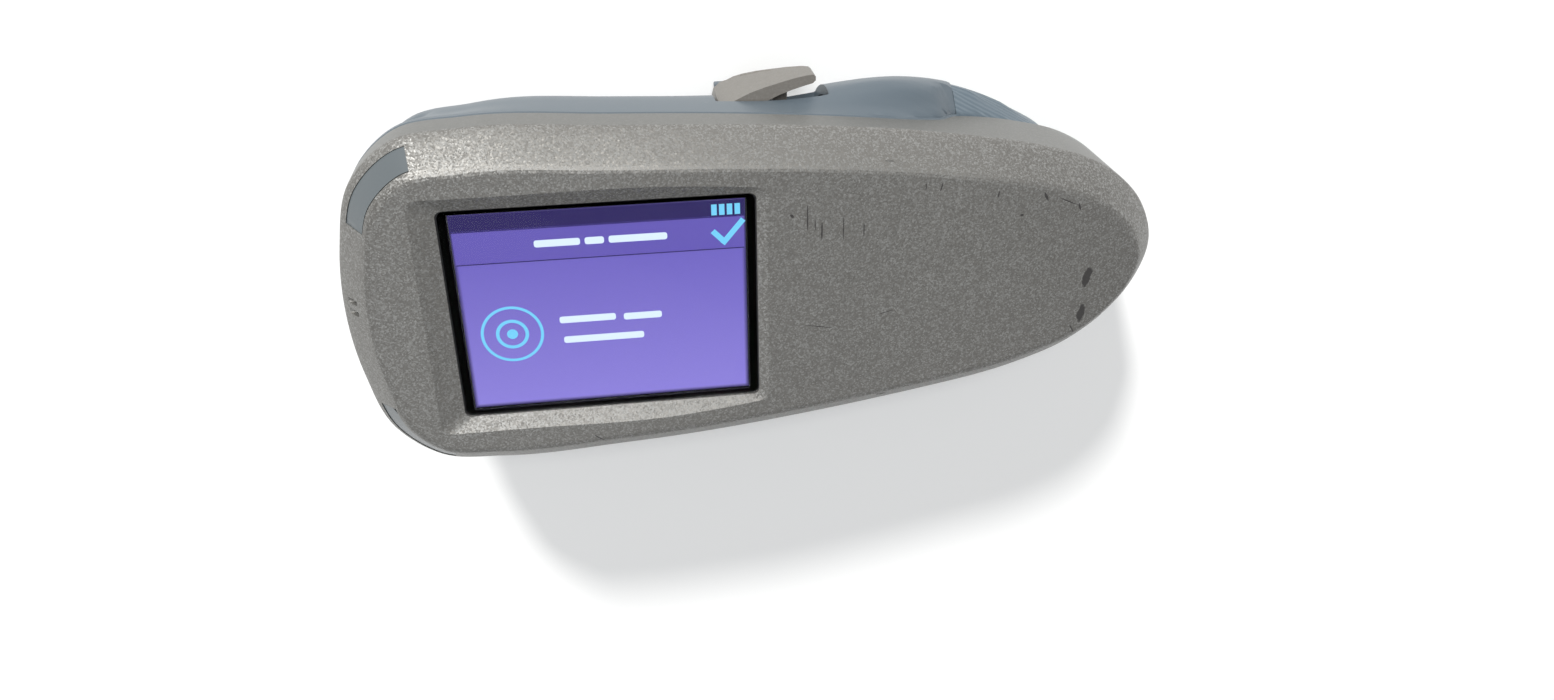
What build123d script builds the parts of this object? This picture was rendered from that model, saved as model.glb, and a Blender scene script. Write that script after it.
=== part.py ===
"""Hand-held microchip scanner: a wide antenna head with a colour display, and a drooping grip that holds two cells.

+X runs from the nose to the tail tip, +Y to the trigger side, +Z out of the display. Z = 0 is the table under the
rest pads, and the origin is on the head pad, under the middle of the display. All sizes are in millimetres.
"""

from build123d import *
import math
import os

os.makedirs("parts", exist_ok=True)

# ---- driving dimensions ------------------------------------------------------------------------------------------
Z_FLOOR = 1.0  # underside of the back shell; the pads fill the last millimetre
Z_SHOULDER = 39.8  # where the front shell's wall turns into the shoulder, under the display
SHOULDER_TILT = 2.4  # degrees that this line falls towards the tail
SHOULDER_RUN = 6.0  # how far the shoulder leans in
Z_FACE = 47.0  # flat face round the display
WALL = 2.2
GAP = 0.3  # running gap between moving and fixed pieces

HALF_OUTLINE = [
    (-52.2, 0), (-50.8, 14), (-46.8, 27.6), (-38.5, 35.2), (-25, 37.2), (3, 36.3),
    (38, 34), (70, 30.2), (95, 25), (112.5, 15.4), (122.4, 0),
]
DROOP_X = (-70, -20, 12, 40, 61, 83, 100, 130)
FACE_Z = (47, 47, 47, 45.6, 44.4, 43.6, 42.2, 37)
PART_Z = (31.6, 31.6, 31.4, 30.4, 28.8, 23, 18.8, 11.5)

BACK_LEVELS = [  # height, lean, palm swell, and the middle and spread of that swell
    (34, 0, 0, 67, 21), (28.5, 0, 0.8, 64, 18), (21, 0.3, 5.8, 64, 18),
    (14, 2.2, 7.1, 69, 23), (6.5, 6.6, 8.2, 74, 27), (1, 16, 7, 74, 27),
]

SCREEN = (57.6, 43.2)  # lit area of the display
WINDOW = (62.0, 45.8)  # opening in the front shell
RECESS = (72.0, 52.0)  # outer edge of the bevel round the window
Z_WINDOW = 45.3
Z_LCD = 44.0

COVER_X = 78.0  # the battery cover starts here
CELL_RADIUS = 7.1
CELL_LENGTH = 50.0
CELL_X = 47.0
CELL_Y = 7.8
CELL_Z = 17.0

PIVOT = (29.5, 31.4)  # trigger pin in plan
TRIGGER_Z = (6.4, 22.4)
PIN_RADIUS = 1.2
PLUNGER_X = 40.0
POSTS = [(-38.5, 22), (-38.5, -22), (58, 24.5), (58, -24.5)]
POST_RADIUS = 2.8
SCREW_RADIUS = 1.25


def save(part, name):
    part.label = name
    export_step(part, f"parts/{name}.step")
    print(f"{name:24s} {part.volume:9.0f} mm3")


def outline(plane, inset=0.0, lean=0.0, swell=0.0, middle=67.0, spread=21.0):
    """The teardrop outline shrunk by lean, widened at the palm by swell, then moved in by inset."""
    last = len(HALF_OUTLINE) - 1
    shrunk = []
    for x, y in HALF_OUTLINE:
        palm = swell * math.exp(-(((x - middle) / spread) ** 2)) if y else 0
        shrunk.append((33 + (x - 33) * (1 - lean / 85), y * (1 - lean / 37) + palm))
    points = [(shrunk[0][0] + inset, 0)]
    for (xa, ya), (x, y), (xb, yb) in zip(shrunk, shrunk[1:], shrunk[2:]):
        length = math.hypot(xb - xa, yb - ya)
        points.append((x + (yb - ya) / length * inset, y - (xb - xa) / length * inset))
    points.append((shrunk[-1][0] - inset, 0))
    with BuildSketch(plane) as sketch:
        with BuildLine():
            for i in range(0, last, 2):
                mirror(ThreePointArc(*points[i : i + 3]), about=Plane.XZ)
        make_face()
    return sketch.sketch


def droop(heights, shift):
    """A line in side view that follows the fall of the body towards the tail."""
    return [(x, z + shift) for x, z in zip(DROOP_X, heights)]


def side_slab(low, high):
    """The material between two drooping lines seen from the side, wider than the body."""
    with BuildPart() as slab:
        with BuildSketch(Plane.XZ.offset(-60)):
            with BuildLine():
                under = Spline(*low, tangents=((1, 0), (1, -0.25)))
                over = Spline(*high, tangents=((1, 0), (1, -0.25)))
                Line(under @ 0, over @ 0)
                Line(under @ 1, over @ 1)
            make_face()
        extrude(amount=120)
    return slab.part


def front_form(inset=0.0, foot=0.0):
    """Outside of the front shell, or the room inside it when inset by the wall."""
    tilt = math.radians(SHOULDER_TILT)
    shoulder = Plane(
        (0, 0, Z_SHOULDER),
        x_dir=(math.cos(tilt), 0, -math.sin(tilt)),
        z_dir=(math.sin(tilt), 0, math.cos(tilt)),
    )
    with BuildPart() as form:
        add(outline(Plane.XY.offset(10), inset))
        add(outline(shoulder, inset))
        loft(ruled=True)
        add(outline(shoulder, inset))
        add(outline(Plane.XY.offset(Z_FACE + 0.5), inset + SHOULDER_RUN))
        loft(ruled=True)
        add(side_slab(droop(PART_Z, foot), droop(FACE_Z, -inset)), mode=Mode.INTERSECT)
    return form.part


def back_form(inset=0.0, top=0.0):
    """Outside of the back shell and battery cover, or the room inside them."""
    with BuildPart() as form:
        for height, *shape in BACK_LEVELS:
            add(outline(Plane.XY.offset(height + inset * (34 - height) / 33), inset, *shape))
        loft()
        add(side_slab(droop([-50] * 8, 0), droop(PART_Z, top)), mode=Mode.INTERSECT)
    return form.part


def ring(inner, outer):
    """Upright wall between two insets of the outline."""
    with BuildPart() as wall:
        add(outline(Plane.XY, inner))
        extrude(amount=60)
        add(outline(Plane.XY, outer))
        extrude(amount=60, mode=Mode.SUBTRACT)
    return wall.part


# ---- status lights: two inlays let into the shoulder at the nose corners ------------------------------------------
with BuildPart() as status_light_left:
    add(ring(1.6, 4.8))
    with BuildSketch():
        with BuildLine():
            Polyline((-60, 19), (-30, 19), (-35, 50), (-60, 50), close=True)
        make_face()
    extrude(amount=60, mode=Mode.INTERSECT)
    add(front_form(), mode=Mode.INTERSECT)
    add(front_form().moved(Location((0, 0, -1.4))), mode=Mode.SUBTRACT)
status_light_right = status_light_left.part.mirror(Plane.XZ)
save(status_light_left.part, "status_light_left")
save(status_light_right, "status_light_right")

# ---- front shell --------------------------------------------------------------------------------------------------
UP = (Align.CENTER, Align.CENTER, Align.MIN)
with BuildPart() as front_shell:
    add(front_form())
    add(front_form(WALL, -3), mode=Mode.SUBTRACT)
    with Locations(*[(x, y, 32.1) for x, y in POSTS]):
        Cylinder(POST_RADIUS, 14, align=UP)
    with Locations(*[(x, y, 37.6) for x, y in POSTS[:2]]):
        Cylinder(POST_RADIUS + 1, 8, align=UP)
    add(front_form(), mode=Mode.INTERSECT)
    with Locations(*[(x, y, 30) for x, y in POSTS]):
        Cylinder(SCREW_RADIUS, 9, align=UP, mode=Mode.SUBTRACT)
    with BuildSketch(Plane.XY.offset(Z_WINDOW)):
        RectangleRounded(*WINDOW, 1.5)
    with BuildSketch(Plane.XY.offset(Z_FACE + 0.2)):
        RectangleRounded(RECESS[0] + 2, RECESS[1] + 2, 2.5)
    loft(ruled=True, mode=Mode.SUBTRACT)
    with BuildSketch(Plane.XY.offset(40)):
        RectangleRounded(*WINDOW, 1.5)
    extrude(amount=10, mode=Mode.SUBTRACT)
    with Locations((0, 0, 38)):
        Box(67.2, 50.6, 6.6, align=UP, mode=Mode.SUBTRACT)
    with Locations((-49.4, 4, 42), (-49.4, 1.6, 42)):
        Box(6, 1.1, 8, mode=Mode.SUBTRACT)
    add(status_light_left.part, mode=Mode.SUBTRACT)
    add(status_light_right, mode=Mode.SUBTRACT)
save(front_shell.part, "front_shell")

# ---- back shell and battery cover ---------------------------------------------------------------------------------
with BuildPart() as back_shell:
    add(back_form())
    add(back_form(WALL, 6), mode=Mode.SUBTRACT)
    with Locations(*[(x, y, 2) for x, y in POSTS]):
        Cylinder(POST_RADIUS + 1.2, 29, align=UP)
    add(back_form(), mode=Mode.INTERSECT)
    with Locations((24, 20, 3), (24, -20, 3)):
        Cylinder(2.2, 33, align=UP)
    with Locations((-24, 12, 3), (-24, -12, 3), (14, 12, 3), (14, -12, 3)):
        Cylinder(2.2, 17, align=UP)
    with Locations((50, 12, 3), (50, -12, 3), (70, 12, 3), (70, -12, 3)):
        Cylinder(2.2, 5.5, align=UP)
    with Locations((COVER_X, 0, 0)):
        Box(80, 100, 80, align=(Align.MIN, Align.CENTER, Align.CENTER), mode=Mode.SUBTRACT)
    with Locations((25.6, 26.5, TRIGGER_Z[0] - 0.4)):
        Box(24, 20, TRIGGER_Z[1] - TRIGGER_Z[0] + 0.8, align=(Align.MIN, Align.MIN, Align.MIN), mode=Mode.SUBTRACT)
    with Locations((PIVOT[0], 29.4, TRIGGER_Z[0] - 2.8), (PIVOT[0], 29.4, TRIGGER_Z[1] + 0.4)):
        Box(5, 8.6, 2.4, align=UP)
    with Locations((*PIVOT, 0)):
        Cylinder(PIN_RADIUS, 60, mode=Mode.SUBTRACT)
    with Locations(*[(x, y, 0) for x, y in POSTS]):
        Cylinder(2.5, 8, align=UP, mode=Mode.SUBTRACT)
        Cylinder(SCREW_RADIUS, 40, align=UP, mode=Mode.SUBTRACT)
save(back_shell.part, "back_shell")

with BuildPart() as battery_cover:
    add(back_form(0, -GAP))
    add(back_form(WALL, 6), mode=Mode.SUBTRACT)
    with Locations((99.6, 0, 3)):
        Box(2, 24, 14.5, align=(Align.MIN, Align.CENTER, Align.MIN))
    with Locations((COVER_X + GAP, 0, 0)):
        Box(80, 100, 80, align=(Align.MIN, Align.CENTER, Align.CENTER), mode=Mode.INTERSECT)
save(battery_cover.part, "battery_cover")

# ---- display ------------------------------------------------------------------------------------------------------
with BuildPart() as display_window:
    with BuildSketch(Plane.XY.offset(Z_LCD + 0.6)):
        RectangleRounded(WINDOW[0] - 0.6, WINDOW[1] - 0.6, 1.3)
    extrude(amount=Z_WINDOW - Z_LCD - 0.6)
    chamfer(display_window.faces().sort_by(Axis.Z)[-1].edges(), 0.3)
save(display_window.part, "display_window")

with BuildPart() as display_gasket:
    with BuildSketch(Plane.XY.offset(Z_LCD)):
        RectangleRounded(66, 49.8, 3)
        RectangleRounded(SCREEN[0] + 0.6, SCREEN[1] + 0.6, 0.6, mode=Mode.SUBTRACT)
    extrude(amount=0.6)
save(display_gasket.part, "display_gasket")

with BuildPart() as lcd_panel:
    with BuildSketch(Plane.XY.offset(Z_LCD - 1.4)):
        RectangleRounded(65, 49, 0.5)
    extrude(amount=1.4)
save(lcd_panel.part, "lcd_panel")

with BuildPart() as lcd_backlight:
    with BuildSketch(Plane.XY.offset(Z_LCD - 3.2)):
        RectangleRounded(67, 50, 1)
    extrude(amount=1.8)
    with Locations((-27, 21, 37.6), (-27, -21, 37.6), (27, 21, 37.6), (27, -21, 37.6)):
        Cylinder(1.5, 3.4, align=UP)
save(lcd_backlight.part, "lcd_backlight")

with BuildPart() as display_ribbon:
    with BuildSketch(Plane.XZ.offset(-9)):
        with BuildLine():
            Polyline((26, 40.8), (36.8, 40.8), (36.8, 38.2), (35, 38.2), (35, 38.4), (36.6, 38.4), (36.6, 40.6),
                     (26, 40.6), close=True)
        make_face()
    extrude(amount=18)
save(display_ribbon.part, "display_ribbon")

# ---- circuit boards -----------------------------------------------------------------------------------------------
with BuildPart() as main_board:
    with BuildSketch(Plane.XY.offset(36)):
        RectangleRounded(82, 52, 8)
        with Locations(*POSTS[:2]):
            Circle(POST_RADIUS + 0.1, mode=Mode.SUBTRACT)
    extrude(amount=1.6)
save(main_board.part, "main_board")

BLOCKS = {  # name: corner to corner
    "ribbon_socket": ((31.5, -10, 37.6), (35, 10, 39)),
    "processor_chip": ((-14, -7, 34.8), (0, 7, 36)),
    "memory_chip": ((6, -5, 34.9), (18, 5, 36)),
    "board_connector": ((22, -9, 32), (27, 9, 36)),
    "status_led_left": ((-38.5, 11, 37.6), (-35.5, 14, 38.4)),
    "status_led_right": ((-38.5, -14, 37.6), (-35.5, -11, 38.4)),
    "reader_board": ((-30, -16, 20), (20, 16, 21.2)),
    "reader_chip": ((-10, -5, 21.2), (0, 5, 22.6)),
    "switch_board": ((33, 18.8, 5.5), (47, 20.4, 25)),
    "cover_contact": ((99.1, -12, 11), (99.6, 12, 17.5)),
    "contact_plate": ((43, -15, 10), (43.5, 15, 24)),
}
for name, (low, high) in BLOCKS.items():
    with BuildPart() as block:
        with Locations(low):
            Box(high[0] - low[0], high[1] - low[1], high[2] - low[2], align=(Align.MIN, Align.MIN, Align.MIN))
    save(block.part, name)

with BuildPart() as buzzer:
    with Locations((-29, 0, 31.4)):
        Cylinder(5.5, 4.6, align=UP)
        Cylinder(1, 1, align=UP, mode=Mode.SUBTRACT)
save(buzzer.part, "buzzer")

# ---- antenna ------------------------------------------------------------------------------------------------------
with BuildPart() as antenna_bobbin:
    with BuildSketch(Plane.XY.offset(21.2)):
        with Locations((-9, 0)):
            RectangleRounded(54, 46, 16)
            RectangleRounded(42, 34, 10, mode=Mode.SUBTRACT)
    extrude(amount=7)
    with BuildSketch(Plane.XY.offset(22.2)):
        with Locations((-9, 0)):
            RectangleRounded(60, 52, 19)
            RectangleRounded(45, 37, 11.5, mode=Mode.SUBTRACT)
    extrude(amount=5, mode=Mode.SUBTRACT)
save(antenna_bobbin.part, "antenna_bobbin")

with BuildPart() as antenna_coil:
    with BuildSketch(Plane.XY.offset(22.2)):
        with Locations((-9, 0)):
            RectangleRounded(52.8, 44.8, 15.4)
            RectangleRounded(45, 37, 11.5, mode=Mode.SUBTRACT)
    extrude(amount=5)
save(antenna_coil.part, "antenna_coil")

# ---- trigger ------------------------------------------------------------------------------------------------------
with BuildPart() as trigger:
    with BuildSketch(Plane.XY.offset(TRIGGER_Z[0])):
        with BuildLine():
            Spline((29.5, 34.6), (33, 36.2), (39, 38), (44.8, 39.3), tangents=((1, 0.5), (1, 0.2)))
            Polyline((44.8, 39.3), (46.8, 39.4), (46.8, 37.8), (44.6, 37.2))
            Spline((44.6, 37.2), (39, 35.4), (35, 33), tangents=((-1, -0.25), (-1, -1)))
            Polyline((35, 33), (31, 28.3), (29.5, 28.3), (29.5, 34.6))
        make_face()
        with Locations(PIVOT):
            Circle(3.2)
    extrude(amount=TRIGGER_Z[1] - TRIGGER_Z[0])
    with BuildSketch(Plane.XZ.offset(-50)):
        with BuildLine():
            Polyline((20, 0), (60, 0), (60, 16.6), (46, 15.6), (38, 10.8), (32, TRIGGER_Z[0]), close=True)
        make_face()
    extrude(amount=30, mode=Mode.SUBTRACT)
    with Locations((*PIVOT, 13)):
        Cylinder(2.5, 5, align=UP, mode=Mode.SUBTRACT)
    with Locations((PLUNGER_X, 33, 15.8)):
        Box(3, 7, 3.4)
    with Locations((*PIVOT, 0)):
        Cylinder(PIN_RADIUS + 0.05, 60, mode=Mode.SUBTRACT)
save(trigger.part, "trigger")

with BuildPart() as trigger_pin:
    with Locations((*PIVOT, TRIGGER_Z[0] - 2.8)):
        Cylinder(PIN_RADIUS, 21.6, align=UP)
save(trigger_pin.part, "trigger_pin")

with BuildPart() as trigger_spring:
    with BuildLine():
        coil = Helix(pitch=1, height=3.6, radius=1.9, center=(*PIVOT, 13.7))
    with BuildSketch(Plane(coil @ 0, z_dir=coil % 0)):
        Circle(0.3)
    sweep(is_frenet=True)
save(trigger_spring.part, "trigger_spring")

with BuildPart() as trigger_switch:
    with Locations((PLUNGER_X, 22.4, 15.8)):
        Box(6.8, 4, 6)
    with BuildSketch(Plane.XZ.offset(-20.7)):
        with Locations((PLUNGER_X, 15.8)):
            Circle(1.45)
    extrude(amount=-8, mode=Mode.SUBTRACT)
save(trigger_switch.part, "trigger_switch")

with BuildPart() as switch_plunger:
    with BuildSketch(Plane.XZ.offset(-23)):
        with Locations((PLUNGER_X, 15.8)):
            Circle(1.4)
    extrude(amount=-6.1)
save(switch_plunger.part, "switch_plunger")

# ---- cells --------------------------------------------------------------------------------------------------------
for name, side, turn in (("cell_left", 1, 1), ("cell_right", -1, -1)):
    with BuildPart() as cell:
        with Locations(Location((CELL_X + CELL_LENGTH / 2, side * CELL_Y, CELL_Z), (0, 90 * turn, 0))):
            Cylinder(CELL_RADIUS, CELL_LENGTH - 1.4)
            with Locations((0, 0, CELL_LENGTH / 2 - 0.7)):
                Cylinder(2.7, 1.4, align=UP)
    save(cell.part, name)

with BuildPart() as battery_tray:
    with BuildSketch(Plane.YZ.offset(43.5)):
        with Locations((0, 12.5)):
            Rectangle(31.4, 8)
        with Locations((CELL_Y, CELL_Z), (-CELL_Y, CELL_Z)):
            Circle(CELL_RADIUS + 0.1, mode=Mode.SUBTRACT)
    extrude(amount=45)
    with BuildSketch(Plane.YZ.offset(41.8)):
        with Locations((0, 16)):
            Rectangle(31.4, 16)
    extrude(amount=1.2)
save(battery_tray.part, "battery_tray")

for name, side in (("contact_spring_left", 1), ("contact_spring_right", -1)):
    with BuildPart() as spring:
        with BuildLine():
            coil = Helix(pitch=1.2, height=2, radius=2.6, center=(43.9, side * CELL_Y, CELL_Z), direction=(1, 0, 0))
        with BuildSketch(Plane(coil @ 0, z_dir=coil % 0)):
            Circle(0.3)
        sweep(is_frenet=True)
    save(spring.part, name)

# ---- screws, seal and pads ----------------------------------------------------------------------------------------
for name, spot in zip(("screw_nose_left", "screw_nose_right", "screw_grip_left", "screw_grip_right"), POSTS):
    with BuildPart() as screw:
        with Locations((*spot, 8)):
            Cylinder(SCREW_RADIUS, 29, align=UP)
        with Locations((*spot, 6.2)):
            Cylinder(2.3, 1.8, align=UP)
            Box(3, 0.6, 0.8, align=UP, mode=Mode.SUBTRACT)
    save(screw.part, name)

for name, x, length, width in (("pad_nose", -27, 8, 26), ("pad_head", 0, 12, 30), ("pad_grip", 62, 10, 26)):
    with BuildPart() as pad:
        with BuildSketch():
            with Locations((x, 0)):
                RectangleRounded(length, width, 2)
        extrude(amount=Z_FLOOR)
    save(pad.part, name)
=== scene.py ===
# %% [markdown]
# # Microchip scanner
# A hand-held reader lies on its back with the display up. The row frame is +X towards the tail, +Y towards the
# trigger and +Z out of the display, with the table at Z = 0. Every length below is typed in millimetres and
# turned into metres by `MM`.

import bpy
import bmesh
import math
import numpy as np
from mathutils import Matrix, Vector


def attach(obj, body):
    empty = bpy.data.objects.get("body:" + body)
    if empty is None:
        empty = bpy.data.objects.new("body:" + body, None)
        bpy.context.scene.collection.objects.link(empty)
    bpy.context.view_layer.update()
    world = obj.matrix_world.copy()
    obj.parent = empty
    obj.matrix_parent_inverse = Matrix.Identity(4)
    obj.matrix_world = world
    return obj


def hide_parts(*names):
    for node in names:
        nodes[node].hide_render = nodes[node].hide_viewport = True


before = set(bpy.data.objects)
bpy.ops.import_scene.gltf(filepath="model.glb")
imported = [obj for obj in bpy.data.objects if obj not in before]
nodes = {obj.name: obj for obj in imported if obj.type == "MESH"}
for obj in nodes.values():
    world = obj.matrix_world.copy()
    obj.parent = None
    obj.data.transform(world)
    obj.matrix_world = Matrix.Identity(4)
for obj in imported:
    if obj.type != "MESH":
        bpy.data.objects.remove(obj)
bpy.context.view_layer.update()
MM = 0.001
print("CAD nodes:", len(nodes))

# %% [markdown]
# ## Helpers
# `finished` turns a bmesh into an object that rides on a CAD body. `cut` evaluates its booleans once, so that a cut
# is baked into the mesh. `rounded_box`, `rounded_plate` and `rod` are the plain shapes.

# %% Mesh helpers
def face_out(bm):
    """Turns every face outwards, checked by the sign of the enclosed volume."""
    bmesh.ops.recalc_face_normals(bm, faces=bm.faces)
    if bm.calc_volume(signed=True) < 0:
        bmesh.ops.reverse_faces(bm, faces=bm.faces)


def finished(bm, name, body, material=None, replaces=(), smooth=35):
    """A new object from bm, smooth except over edges sharper than `smooth` degrees."""
    face_out(bm)
    for face in bm.faces:
        face.smooth = True
    for edge in bm.edges:
        edge.smooth = len(edge.link_faces) != 2 or edge.calc_face_angle(0) < math.radians(smooth)
    mesh = bpy.data.meshes.new(name)
    bm.to_mesh(mesh)
    bm.free()
    obj = bpy.data.objects.new(name, mesh)
    bpy.context.scene.collection.objects.link(obj)
    if material:
        mesh.materials.append(material)
    if replaces:
        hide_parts(*replaces)
    if body:
        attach(obj, body)
    return obj


def cut(bm, cutters, operation="DIFFERENCE"):
    """bm with each cutter bmesh taken away from it (or kept in common with it)."""
    face_out(bm)
    mesh = bpy.data.meshes.new("work")
    bm.to_mesh(mesh)
    bm.free()
    work = bpy.data.objects.new("work", mesh)
    bpy.context.scene.collection.objects.link(work)
    made = [work]
    for cutter in cutters:
        face_out(cutter)
        tool_mesh = bpy.data.meshes.new("tool")
        cutter.to_mesh(tool_mesh)
        cutter.free()
        tool = bpy.data.objects.new("tool", tool_mesh)
        bpy.context.scene.collection.objects.link(tool)
        made.append(tool)
        modifier = work.modifiers.new("cut", "BOOLEAN")
        modifier.operation = operation
        modifier.solver = "EXACT"
        modifier.object = tool
    depsgraph = bpy.context.evaluated_depsgraph_get()
    out = bmesh.new()
    out.from_object(work, depsgraph)
    for obj in made:
        bpy.data.objects.remove(obj)
    return out


def rounded_box(low, high, edge=0.0, into=None):
    """A box from corner to corner in millimetres, with every edge rounded by `edge`."""
    bm = into or bmesh.new()
    low, high = Vector(low) * MM, Vector(high) * MM
    size = high - low
    place = Matrix.Translation((low + high) / 2) @ Matrix.Diagonal((*size, 1))
    verts = bmesh.ops.create_cube(bm, size=1, matrix=place)["verts"]
    if edge:
        edges = list({e for v in verts for e in v.link_edges})
        bmesh.ops.bevel(bm, geom=edges, offset=edge * MM, segments=2, profile=0.5, affect="EDGES", material=-1)
    return bm


def rounded_plate(centre, size, radius, z_low, z_high, into=None, top_size=None):
    """An upright plate with round corners; top_size makes it flare."""
    bm = into or bmesh.new()
    cx, cy = centre
    place = Matrix.Translation(Vector((cx, cy, (z_low + z_high) / 2)) * MM)
    place = place @ Matrix.Diagonal((size[0] * MM, size[1] * MM, (z_high - z_low) * MM, 1))
    verts = bmesh.ops.create_cube(bm, size=1, matrix=place)["verts"]
    edges = {e for v in verts for e in v.link_edges}
    if top_size:
        for v in verts:
            if v.co.z > (z_low + z_high) / 2 * MM:
                v.co.x = (cx + math.copysign(top_size[0] / 2, v.co.x - cx * MM)) * MM
                v.co.y = (cy + math.copysign(top_size[1] / 2, v.co.y - cy * MM)) * MM
    upright = [e for e in edges if abs(e.verts[0].co.z - e.verts[1].co.z) > 1e-6]
    if radius:
        bmesh.ops.bevel(bm, geom=upright, offset=radius * MM, segments=6, profile=0.5, affect="EDGES", material=-1)
    return bm


def rod(a, b, radius, segments=32, into=None):
    """A round bar from a to b in millimetres."""
    bm = into or bmesh.new()
    a, b = Vector(a) * MM, Vector(b) * MM
    turn = (b - a).to_track_quat("Z", "Y").to_matrix().to_4x4()
    bmesh.ops.create_cone(
        bm,
        cap_ends=True,
        segments=segments,
        radius1=radius * MM,
        radius2=radius * MM,
        depth=(b - a).length,
        matrix=Matrix.Translation((a + b) / 2) @ turn,
    )
    return bm


# %% [markdown]
# ## The body's outline
# One teardrop curve describes the body from above. It is a smooth curve through a few stations measured from the
# nose round the trigger side to the tail tip, mirrored across the centre line. The face and the parting line both
# fall towards the tail.

# %% The outline and the two falling lines
STATIONS = [
    (-52.2, 0), (-50.8, 14.5), (-46.8, 27.6), (-38, 35.4), (-25, 37.2), (3, 36.3), (38, 34),
    (70, 30.2), (92, 26), (104, 22), (112.4, 16.8), (119.1, 9.5), (122.3, 0),
]
DROOP_X = (-70, -20, 12, 40, 61, 83, 100, 130)
FACE_Z = (47, 47, 47, 45.6, 44.4, 43.6, 42.2, 37)
PART_Z = (31.6, 31.6, 31.4, 30.4, 28.8, 23, 18.8, 11.5)
AROUND = 288


def smooth_through(xs, ys, x):
    """A smooth curve through a few points, read at x."""
    xs, ys, x = np.array(xs, float), np.array(ys, float), np.array(x, float)
    slopes = np.gradient(ys, xs)
    i = np.clip(np.searchsorted(xs, x) - 1, 0, len(xs) - 2)
    h = xs[i + 1] - xs[i]
    t = np.clip((x - xs[i]) / h, 0, 1)
    a, b = (1 + 2 * t) * (1 - t) ** 2, t**2 * (3 - 2 * t)
    return a * ys[i] + b * ys[i + 1] + h * (t * (1 - t) ** 2 * slopes[i] - t**2 * (1 - t) * slopes[i + 1])


def teardrop():
    """AROUND points, evenly spaced, round the outline."""
    half = np.array(STATIONS, float)
    loop = np.vstack([half, half[-2:0:-1] * [1, -1]])
    loop = np.vstack([loop[-3:], loop, loop[:4]])
    step = np.concatenate([[0], np.cumsum(np.hypot(*np.diff(loop, axis=0).T))])
    fine = np.linspace(step[3], step[-4], 6001)
    dense = np.stack([smooth_through(step, loop[:, 0], fine), smooth_through(step, loop[:, 1], fine)], 1)
    run = np.concatenate([[0], np.cumsum(np.hypot(*np.diff(dense, axis=0).T))])
    even = np.linspace(0, run[-1], AROUND, endpoint=False)
    return np.stack([np.interp(even, run, dense[:, 0]), np.interp(even, run, dense[:, 1])], 1)


OUTLINE = teardrop()


def ring(inset=0.0, lean=0.0, swell=0.0, middle=67.0, spread=21.0):
    """The outline shrunk by lean, widened round the middle of the palm by swell, then moved in by inset."""
    x, y = OUTLINE.T
    palm = swell * np.exp(-(((x - middle) / spread) ** 2)) * np.tanh(y / 6)
    p = np.stack([33 + (x - 33) * (1 - lean / 85), y * (1 - lean / 37) + palm], 1)
    along = np.roll(p, -1, 0) - np.roll(p, 1, 0)
    along /= np.hypot(*along.T)[:, None]
    return p + np.stack([along[:, 1], -along[:, 0]], 1) * np.asarray(inset)[..., None]


def face_z(x):
    return smooth_through(DROOP_X, FACE_Z, x)


def part_z(x):
    """The parting line steps down where the battery cover begins."""
    step = np.clip((np.asarray(x) - 73.0) / 4.6, 0, 1)
    hump = 0.9 * np.exp(-(((np.asarray(x) - 68) / 9) ** 2))
    return smooth_through(DROOP_X, PART_Z, x) + hump - 2.4 * step * step * (3 - 2 * step)


def closing(points, height):
    """Rings that shrink from points onto a spine on the centre line, at the height that belongs to each x."""
    spine = np.column_stack([np.clip(points[:, 0], -22, 92), np.zeros(len(points))])
    made = []
    for share in (0.97, 0.88, 0.72, 0.52, 0.32, 0.14, 0):
        plan = spine + (points[:, :2] - spine) * share
        made.append(np.column_stack([plan, np.broadcast_to(height(plan[:, 0]), len(plan))]))
    return made


def form(rings, floor, roof):
    """A closed solid through rings of points, lowest first; floor and roof give the end faces' heights."""
    stack = closing(rings[0], floor)[::-1] + list(rings) + closing(rings[-1], roof)
    bm = bmesh.new()
    line = bmesh.ops.create_circle(bm, cap_ends=False, segments=AROUND, radius=1)["verts"]
    for i, points in enumerate(stack):
        if i:
            edges = [e for e in bm.edges if e.verts[0] in here and e.verts[1] in here]
            fresh = bmesh.ops.extrude_edge_only(bm, edges=edges)["geom"]
            fresh = {v for v in fresh if isinstance(v, bmesh.types.BMVert)}
            line = [next(e.other_vert(v) for e in v.link_edges if e.other_vert(v) in fresh) for v in line]
        here = set(line)
        for v, p in zip(line, points):
            v.co = Vector(p) * MM
    bmesh.ops.remove_doubles(bm, verts=bm.verts, dist=0.01 * MM)
    return bm


def level(points, z):
    """Points in plan given a height."""
    return np.column_stack([points, np.broadcast_to(z, len(points))])


print("outline", len(OUTLINE), "points, length", round(float(np.ptp(OUTLINE[:, 0])), 1), "mm")

# %% [markdown]
# ## Camera, table and light
# The camera was fitted to the display's corners, so its place and turn are given directly. The table is plain and
# pale. A low sun on the trigger side lights the shoulder, a small lamp above it catches the bevel under the display,
# and a dim panel and the world fill the rest.

# %% Camera and stage
camera_data = bpy.data.cameras.new("camera")
camera_data.lens = 27.03
camera_data.sensor_width = 36
camera_data.clip_start = 0.01
camera = bpy.data.objects.new("camera", camera_data)
bpy.context.scene.collection.objects.link(camera)
turn = Matrix((
    (0.98910638, 0.07660918, -0.12569645),
    (-0.00634728, 0.87530399, 0.48353143),
    (0.14706555, -0.47746619, 0.86625502),
))
camera.matrix_world = Matrix.Translation(Vector((3.767, 106.874, 259.589)) * MM) @ turn.to_4x4()
bpy.context.scene.camera = camera


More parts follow.
